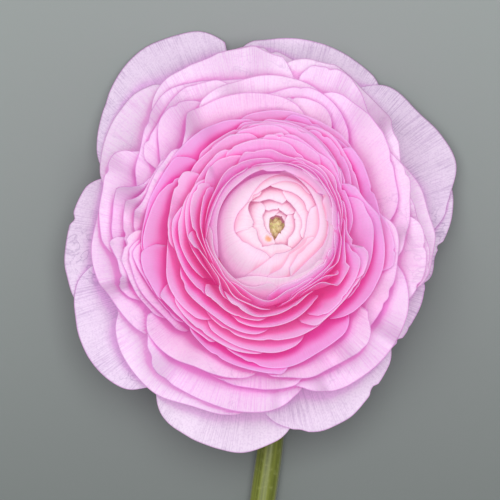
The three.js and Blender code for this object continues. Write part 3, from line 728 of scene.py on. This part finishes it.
def receptacle_body():
    """The cushion that the petals stand on: its outline turned round the head's axis."""
    corners, faces = closed_rings(turned_rings(smooth_path(RECEPTACLE, 36), 48))
    angle = np.arctan2(corners[:, 1], corners[:, 0])
    values = dict(turn_x=np.cos(angle), turn_y=np.sin(angle), run=corners[:, 2] - 20.0, inside=0 * angle)
    return (head_to_row(corners), faces), values


def sepal_body(k):
    """A sepal: a blade along a cubic curve, as wide as a power of a sine, with its sides drawn up."""
    u, v = np.meshgrid(np.linspace(-1.0, 1.0, 21), np.linspace(0.0, 1.0, 31), indexing="ij")
    width = SEPAL_HALF_WIDTH * np.sin(np.pi * (0.22 + 0.68 * v)) ** 0.8
    height = bezier(SEPAL_HEIGHTS, v) + 0.5 * u**2 * v + 0.12 * ripple(u, 500 + k, 10, 3) * v
    points = np.stack([bezier(SEPAL_RADII, v) - 1.2 * u**2 * v, u * width, height], axis=-1)
    turn = turn_matrix(2, math.radians(SEPAL_START + 360.0 * k / SEPALS))
    corners, faces = closed_sheet(points @ turn.T, SEPAL_THICKNESS * (1.0 - 0.6 * v * np.abs(u)))
    across, along = np.tile(u.ravel(), 2), np.tile(v.ravel(), 2)
    values = dict(turn_x=1.4 * across, turn_y=k + 0 * across, run=15.0 * along + 400.0, inside=0 * across)
    return (head_to_row(corners), faces), values


def joined_piece(name, parts, material):
    """Bodies with their point values as one piece."""
    corners, faces = gather([body for body, _ in parts])
    values = {key: np.concatenate([part[key] for _, part in parts]) for key in parts[0][1]}
    return make_piece(name, corners, faces, material, values)


def shifted_to_row(corners):
    """Corners moved off the head's axis as the heart is, in step with their height, then to the row."""
    return head_to_row(corners + rise_at(corners[:, 2:]) * np.array((*HEART_SHIFT, 0.0)))


def cone_body():
    """The core that the seeds stand on: its outline turned round the head's axis."""
    corners, faces = closed_rings(turned_rings(smooth_path(CARPEL_CONE, 30), 32))
    return (shifted_to_row(corners), faces), {"tip": np.zeros(len(corners))}


def carpel_body(k):
    """A seed with a hooked beak: rings whose radius is a sine that runs out into a thin tail, laid on the
    cone at the golden angle and bent up."""
    part = 0.3 + 0.69 * k / (CARPELS - 1)
    along = np.linspace(0.0, 1.0, 15)[:, None]
    angle = round_angles(12)
    size = 1.0 + 0.25 * (draw(600 + k, 1) - 0.5)
    swell = CARPEL_RADIUS * size * (np.sin(np.pi * np.minimum(along * 1.25, 1.0)) ** 0.7 * 0.94 + 0.06)
    hook = 0.5 * smooth(0.6, 1.0, along)
    local = np.stack([swell * np.cos(angle) - hook, 0.8 * swell * np.sin(angle),
                      CARPEL_LENGTH * size * (along - 0.3) + 0 * angle], axis=-1)
    lean = turn_matrix(1, math.pi / 2 - math.radians(30 + 48 * part))
    spin = turn_matrix(2, math.radians(GOLDEN_ANGLE * k + 20 * (draw(600 + k, 2) - 0.5)))
    foot = smooth_path(CARPEL_CONE, 200)[int(part * 199)]
    rings = (local @ lean.T + np.array((foot[0] - 0.2, 0.0, foot[1]))) @ spin.T
    corners, faces = closed_rings(rings)
    return (shifted_to_row(corners), faces), {"tip": ring_values(rings, along, (0.0, 1.0))}


# Materials
def add_node(tree, kind, inputs=None, **settings):
    """A shader node with its settings, its inputs set to values or linked from other sockets."""
    node = tree.nodes.new(kind)
    for key, value in settings.items():
        setattr(node, key, value)
    for key, value in (inputs or {}).items():
        if isinstance(value, bpy.types.NodeSocket):
            tree.links.new(value, node.inputs[key])
        else:
            node.inputs[key].default_value = value
    return node


def new_group(name, inputs, outputs):
    """An empty shader node group with its end nodes. Its sockets are numbers, or colours where they
    have four values or are called Color."""
    group = bpy.data.node_groups.new(name, "ShaderNodeTree")
    for socket, value in inputs.items():
        kind = "NodeSocketFloat" if isinstance(value, float) else "NodeSocketColor"
        group.interface.new_socket(name=socket, in_out="INPUT", socket_type=kind).default_value = value
    for socket in outputs:
        kind = "NodeSocketColor" if socket == "Color" else "NodeSocketFloat"
        group.interface.new_socket(name=socket, in_out="OUTPUT", socket_type=kind)
    return group, group.nodes.new("NodeGroupInput").outputs, group.nodes.new("NodeGroupOutput").inputs


def use_group(tree, group, inputs):
    """The outputs of a group placed in a tree with its own values."""
    return add_node(tree, "ShaderNodeGroup", inputs, node_tree=group).outputs


def new_material(name):
    """An empty material and its tree."""
    material = bpy.data.materials.new(name)
    material.use_nodes = True
    material.node_tree.nodes.clear()
    return material, material.node_tree


def show(tree, shader):
    """Puts a shader out as the material's surface."""
    add_node(tree, "ShaderNodeOutputMaterial", {"Surface": shader.outputs[0]})


def principled(tree, colour, roughness, specular, inputs):
    inputs = {"Base Color": colour, "Roughness": roughness, "Specular IOR Level": specular, **inputs}
    return add_node(tree, "ShaderNodeBsdfPrincipled", inputs)


def attribute(tree, name):
    return add_node(tree, "ShaderNodeAttribute", attribute_name=name).outputs["Fac"]


def on_object(tree):
    return add_node(tree, "ShaderNodeTexCoord").outputs["Object"]


def math_node(tree, operation, a, b=0.0):
    return add_node(tree, "ShaderNodeMath", {0: a, 1: b}, operation=operation).outputs[0]


def times(tree, a, b):
    return math_node(tree, "MULTIPLY", a, b)


def combined(tree, x, y, z=0.0):
    return add_node(tree, "ShaderNodeCombineXYZ", {0: x, 1: y, 2: z}).outputs[0]


def noise(tree, place, scale, detail=2.0, inputs=None, **settings):
    inputs = {"Vector": place, "Scale": scale, "Detail": detail, **(inputs or {})}
    return add_node(tree, "ShaderNodeTexNoise", inputs, **settings).outputs[0]


def ease(tree, value, low, high):
    """Smooth step of a value from low to high, 0 to 1."""
    return add_node(tree, "ShaderNodeMapRange", {"Value": value, "From Min": low, "From Max": high},
                    interpolation_type="SMOOTHSTEP").outputs[0]


def blend_colour(tree, factor, a, b, mode="MIX"):
    node = add_node(tree, "ShaderNodeMix", {0: factor, 6: a, 7: b}, data_type="RGBA", blend_type=mode)
    return node.outputs[2]


def bumped(tree, height, strength, distance=0.0002):
    inputs = {"Strength": strength, "Distance": distance, "Height": height}
    return add_node(tree, "ShaderNodeBump", inputs).outputs[0]


def veins_group():
    """Fine streaks from a petal's foot to its rim, stronger in some places: noise drawn out along
    the petal on its own map, times a broad noise."""
    group, given, out = new_group("petal_veins", {"Spacing": 0.55, "Length": 14.0, "Fill": 0.5},
                                  ("Lines", "Height"))
    flat = add_node(group, "ShaderNodeUVMap", uv_map="petal").outputs["UV"]
    parts = add_node(group, "ShaderNodeSeparateXYZ", {0: flat}).outputs
    u = math_node(group, "DIVIDE", times(group, parts[0], MAP_UNIT), given["Spacing"])
    v = math_node(group, "DIVIDE", times(group, parts[1], MAP_UNIT), given["Length"])
    drawn = noise(group, combined(group, u, v), 1.0, 2.0, {"Roughness": 0.6}, noise_dimensions="2D")
    low = math_node(group, "SUBTRACT", given["Fill"], 0.08)
    high = math_node(group, "ADD", given["Fill"], 0.22)
    cloud = ease(group, noise(group, on_object(group), 90.0), 0.25, 0.65)
    group.links.new(times(group, ease(group, drawn, low, high), cloud), out["Lines"])
    group.links.new(drawn, out["Height"])
    return group


def creases_group():
    """Thin crooked darker crease lines in patches: where one noise passes its middle and another is high."""
    inputs = {"Fineness": 170.0, "Width": 0.03, "Patch Fineness": 55.0}
    group, given, out = new_group("petal_creases", inputs, ("Lines",))
    place = on_object(group)
    fine = noise(group, place, given["Fineness"], 3.5, {"Distortion": 1.2})
    broad = noise(group, place, given["Patch Fineness"], 1.0)
    away = math_node(group, "ABSOLUTE", math_node(group, "SUBTRACT", fine, 0.5))
    line = math_node(group, "SUBTRACT", 1.0, ease(group, away, 0.0, given["Width"]))
    group.links.new(times(group, line, ease(group, broad, 0.5, 0.66)), out["Lines"])
    return group


def grain_group():
    """Specks as fine as a petal's cells: where a very fine noise is high."""
    group, given, out = new_group("petal_grain", {"Fineness": 2200.0}, ("Specks",))
    specks = ease(group, noise(group, on_object(group), given["Fineness"]), 0.4, 0.75)
    group.links.new(specks, out["Specks"])
    return group


GLOW_TINT = (0.95, 0.5, 0.8, 1.0)
# Belly and deep are the flushed tones: partly the pinker foot of a petal, partly painted shade next to what
# covers it.
TONES = ("Line", "Face", "Belly", "Deep")
TONE_PLACES = ("Line Width", "Belly End", "Deep Start")


def tone_group():
    """Colour of a petal: a thin line at its rim, then the face, flushed to belly and deep colours
    towards what covers it, a little unevenly: a pinker foot and painted shade under the covering rim."""
    inputs = dict.fromkeys(TONES, (0.8, 0.8, 0.8, 1.0)) | dict.fromkeys(TONE_PLACES, 0.5)
    group, given, out = new_group("petal_tone", inputs, ("Color",))
    mottle = noise(group, on_object(group), 140.0, 3.0)
    shift = times(group, math_node(group, "SUBTRACT", mottle, 0.5), 0.5)
    flush_and_shade = math_node(group, "ADD", attribute(group, "flush_and_shade"), shift)
    line = ease(group, attribute(group, "rim"), 0.0, given["Line Width"])
    face = blend_colour(group, line, given["Line"], given["Face"])
    belly = blend_colour(group, ease(group, flush_and_shade, 0.05, given["Belly End"]), face, given["Belly"])
    deep = blend_colour(group, ease(group, flush_and_shade, given["Deep Start"], 1.0), belly, given["Deep"])
    group.links.new(deep, out["Color"])
    return group


VEINS = veins_group()
CREASES = creases_group()
GRAIN = grain_group()
TONE = tone_group()


def stain_mask(tree):
    """Where pollen has stained the heart: a small soft spot seen from above, broken by noise."""
    place = on_object(tree)
    x, y = [-value / STAIN_RADIUS for value in STAIN_PLACE]
    size = 1.0 / (STAIN_RADIUS * MM)
    flat = add_node(tree, "ShaderNodeVectorMath", {0: place, 1: (size, size, 0.0), 2: (x, y, 0.0)},
                    operation="MULTIPLY_ADD").outputs[0]
    away = add_node(tree, "ShaderNodeVectorMath", {0: flat}, operation="LENGTH").outputs["Value"]
    grain = times(tree, noise(tree, place, 1500.0), 0.7)
    near = math_node(tree, "SUBTRACT", 1.25, math_node(tree, "ADD", away, grain))
    return times(tree, ease(tree, near, 0.0, 0.7), STAIN_STRENGTH)


def petal_material(name, young, old, places, veins, through, glowing, creased=0.0, stained=False):
    """A petal's finish. Young and old are the tones of the whorl's youngest and oldest petals, places
    the rim line's width and the flush, pinker foot and painted shade, at which belly ends and deep starts,
    veins their colour, amount and bump. The faint pink glow stands for light that passes from petal to
    petal."""
    material, tree = new_material(name)
    bloom = attribute(tree, "bloom")
    tones = {key: blend_colour(tree, bloom, srgb(*a), srgb(*b)) for key, a, b in zip(TONES, young, old)}
    colour = use_group(tree, TONE, {**tones, **dict(zip(TONE_PLACES, places))})["Color"]
    fine = use_group(tree, VEINS, {"Spacing": 0.32, "Length": 9.0, "Fill": 0.5})
    coarse = use_group(tree, VEINS, {"Spacing": 1.3, "Length": 16.0, "Fill": 0.55})
    vein, amount, bump = srgb(*veins[0]), veins[1], veins[2]
    colour = blend_colour(tree, times(tree, fine["Lines"], amount), colour, vein)
    colour = blend_colour(tree, times(tree, coarse["Lines"], amount * 0.4), colour, vein)
    tint = add_node(tree, "ShaderNodeMath", {0: attribute(tree, "tint"), 1: 0.3, 2: 0.85},
                    operation="MULTIPLY_ADD").outputs[0]
    colour = add_node(tree, "ShaderNodeHueSaturation", {"Saturation": tint, "Color": colour}).outputs[0]
    specks = use_group(tree, GRAIN, {"Fineness": 2200.0})["Specks"]
    colour = blend_colour(tree, times(tree, specks, amount * 0.5), colour, vein)
    if creased:
        lines = use_group(tree, CREASES, {"Fineness": 170.0, "Width": 0.03, "Patch Fineness": 55.0})["Lines"]
        colour = blend_colour(tree, times(tree, lines, creased), colour, srgb(140, 104, 160))
    if stained:
        colour = blend_colour(tree, stain_mask(tree), colour, srgb(236, 160, 84))
    glow = blend_colour(tree, 1.0, colour, GLOW_TINT, "MULTIPLY")
    normal = bumped(tree, math_node(tree, "ADD", fine["Height"], coarse["Height"]), bump, 0.00025)
    surface = principled(tree, colour, 0.5, 0.25, {
        "Sheen Weight": 0.15, "Sheen Roughness": 0.5, "Normal": normal, "Emission Color": glow,
        "Emission Strength": glowing})
    backlit = add_node(tree, "ShaderNodeBsdfTranslucent", {"Color": colour, "Normal": normal})
    mixed = {0: through, 1: surface.outputs[0], 2: backlit.outputs[0]}
    show(tree, add_node(tree, "ShaderNodeMixShader", mixed))
    return material


# Tones of each whorl: line, face, belly and deep; belly and deep are partly the pinker foot and partly
# painted shade next to what covers a petal.
HEART_FINISH = petal_material(
    "heart_petal",
    [(237, 218, 231), (241, 236, 238), (240, 231, 234), (240, 216, 225)],
    [(234, 189, 229), (239, 203, 233), (238, 189, 221), (238, 156, 196)],
    (0.3, 0.6, 0.5), ((230, 172, 212), 0.16, 0.12), 0.35, 0.2, stained=True)
HUG_FINISH = petal_material(
    "middle_petal",
    [(246, 226, 244), (243, 218, 239), (245, 194, 230), (246, 172, 220)],
    [(238, 204, 242), (237, 197, 236), (238, 176, 226), (236, 122, 200)],
    (0.3, 0.65, 0.45), ((238, 140, 212), 0.12, 0.15), 0.45, 0.22)
OUTER_FINISH = petal_material(
    "outer_petal",
    [(238, 180, 232), (246, 231, 247), (244, 212, 240), (239, 150, 216)],
    [(234, 188, 232), (247, 239, 250), (246, 229, 246), (243, 192, 235)],
    (0.3, 0.6, 0.55), ((226, 160, 224), 0.3, 0.2), 0.4, 0.155, creased=0.13)
GUARD_TONES = [(232, 184, 232), (244, 233, 248), (242, 224, 245), (237, 198, 238)]
GUARD_FINISH = petal_material(
    "guard_petal", GUARD_TONES, GUARD_TONES,
    (0.35, 0.6, 0.5), ((180, 148, 192), 0.42, 0.3), 0.3, 0.105, creased=0.34)


def stem_material():
    """Olive green with pale lengthwise ribs and streaks, and a paler cut end and hollow."""
    material, tree = new_material("stem_green")
    along = times(tree, attribute(tree, "run"), 0.008)
    place = combined(tree, attribute(tree, "turn_x"), attribute(tree, "turn_y"), along)
    streaks = noise(tree, place, 4.0, 3.0)
    speckle = noise(tree, on_object(tree), 900.0, 3.0)
    colour = blend_colour(tree, ease(tree, streaks, 0.3, 0.75), srgb(88, 96, 32), srgb(124, 132, 54))
    colour = blend_colour(tree, times(tree, ease(tree, speckle, 0.5, 0.8), 0.4), colour, srgb(150, 156, 92))
    colour = blend_colour(tree, attribute(tree, "inside"), colour, srgb(176, 182, 122))
    show(tree, principled(tree, colour, 0.42, 0.4, {
        "Sheen Weight": 0.2, "Sheen Roughness": 0.4, "Normal": bumped(tree, streaks, 0.25)}))
    return material


def carpel_material():
    """Yellow green seeds, mottled, with brown beaks and a faint glow for the light between the petals."""
    material, tree = new_material("carpel")
    mottle = noise(tree, on_object(tree), 1200.0, 3.0)
    colour = blend_colour(tree, ease(tree, mottle, 0.35, 0.7), srgb(216, 210, 158), srgb(192, 186, 124))
    colour = blend_colour(tree, ease(tree, attribute(tree, "tip"), 0.8, 1.0), colour, srgb(132, 116, 62))
    show(tree, principled(tree, colour, 0.5, 0.4, {
        "Normal": bumped(tree, mottle, 0.2), "Emission Color": colour, "Emission Strength": 0.12}))
    return material


def floor_material():
    """Matt grey paper, a little uneven, with painted shade that darkens it towards the stem's cut end."""
    material, tree = new_material("floor_paint")
    place = on_object(tree)
    cloud = ease(tree, noise(tree, place, 4.0), 0.3, 0.7)
    colour = blend_colour(tree, cloud, srgb(147, 153, 151), srgb(152, 158, 156))
    back = add_node(tree, "ShaderNodeSeparateXYZ", {0: place}).outputs[1]
    # Painted shade: the fall-off of the light, darker towards -Y.
    colour = blend_colour(tree, ease(tree, back, -0.10, 0.16), srgb(98, 103, 101), colour)
    show(tree, principled(tree, colour, 0.9, 0.2, {}))
    return material


# Petals
hearts, guards, outers, ring = all_listed_petals()
heart = petal_piece("heart_bloom", hearts, HEART_FINISH)
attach(heart, "root")
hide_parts("heart_petals")

half = len(ring) // 2
for name, petals in (("middle_bloom", ring[:half]), ("inner_bloom", ring[half:])):
    middle = petal_piece(name, petals, HUG_FINISH)
    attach(middle, "root")
    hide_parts("middle_petals")

outer = petal_piece("outer_bloom", outers, OUTER_FINISH)
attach(outer, "root")
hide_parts("outer_petals")

guard = petal_piece("guard_bloom", guards, GUARD_FINISH)
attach(guard, "root")
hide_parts("guard_petals")

# Stem and seed head
stem_parts = [stem_tube(), receptacle_body()] + [sepal_body(k) for k in range(SEPALS)]
stem = joined_piece("stem_and_sepals", stem_parts, stem_material())
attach(stem, "root")
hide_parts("stem")

seed_parts = [cone_body()] + [carpel_body(k) for k in range(CARPELS)]
seeds = joined_piece("seed_head", seed_parts, carpel_material())
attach(seeds, "root")
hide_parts("carpels")

# Floor
floor_mesh = bpy.data.meshes.new("floor")
floor_mesh.from_pydata([(-3, -3, 0), (3, -3, 0), (3, 3, 0), (-3, 3, 0)], [], [(0, 1, 2, 3)])
floor_mesh.materials.append(floor_material())
floor = new_object("floor", floor_mesh)

# Light
world = bpy.data.worlds.new("studio")
bpy.context.scene.world = world
world.use_nodes = True
world.node_tree.nodes["Background"].inputs["Color"].default_value = (0.97, 0.985, 1.0, 1.0)
world.node_tree.nodes["Background"].inputs["Strength"].default_value = 0.38
LAMP_PLACE = Vector((-0.02, 0.12, 1.15))
LAMP_AIM = Vector((0.0, 0.05, 0.03))
lamp = bpy.data.lights.new("softbox", "AREA")
lamp.energy = 12.6
lamp.size = 0.9
softbox = new_object("softbox", lamp)
softbox.location = LAMP_PLACE
softbox.rotation_euler = (LAMP_AIM - LAMP_PLACE).to_track_quat("-Z", "Y").to_euler()

# Camera
CAMERA_PLACE = (HEAD_BASE[0] - 2.875, HEAD_BASE[1] + 0.92, 820.0)
VIEW_WIDTH = 115.0
VIEW_DISTANCE = 800.0
camera_data = bpy.data.cameras.new("camera")
camera_data.sensor_width = 36.0
camera_data.lens = 36.0 * VIEW_DISTANCE / VIEW_WIDTH
camera = new_object("camera", camera_data)
camera.location = [value * MM for value in CAMERA_PLACE]
bpy.context.scene.camera = camera
bpy.context.scene.view_settings.view_transform = "Standard"
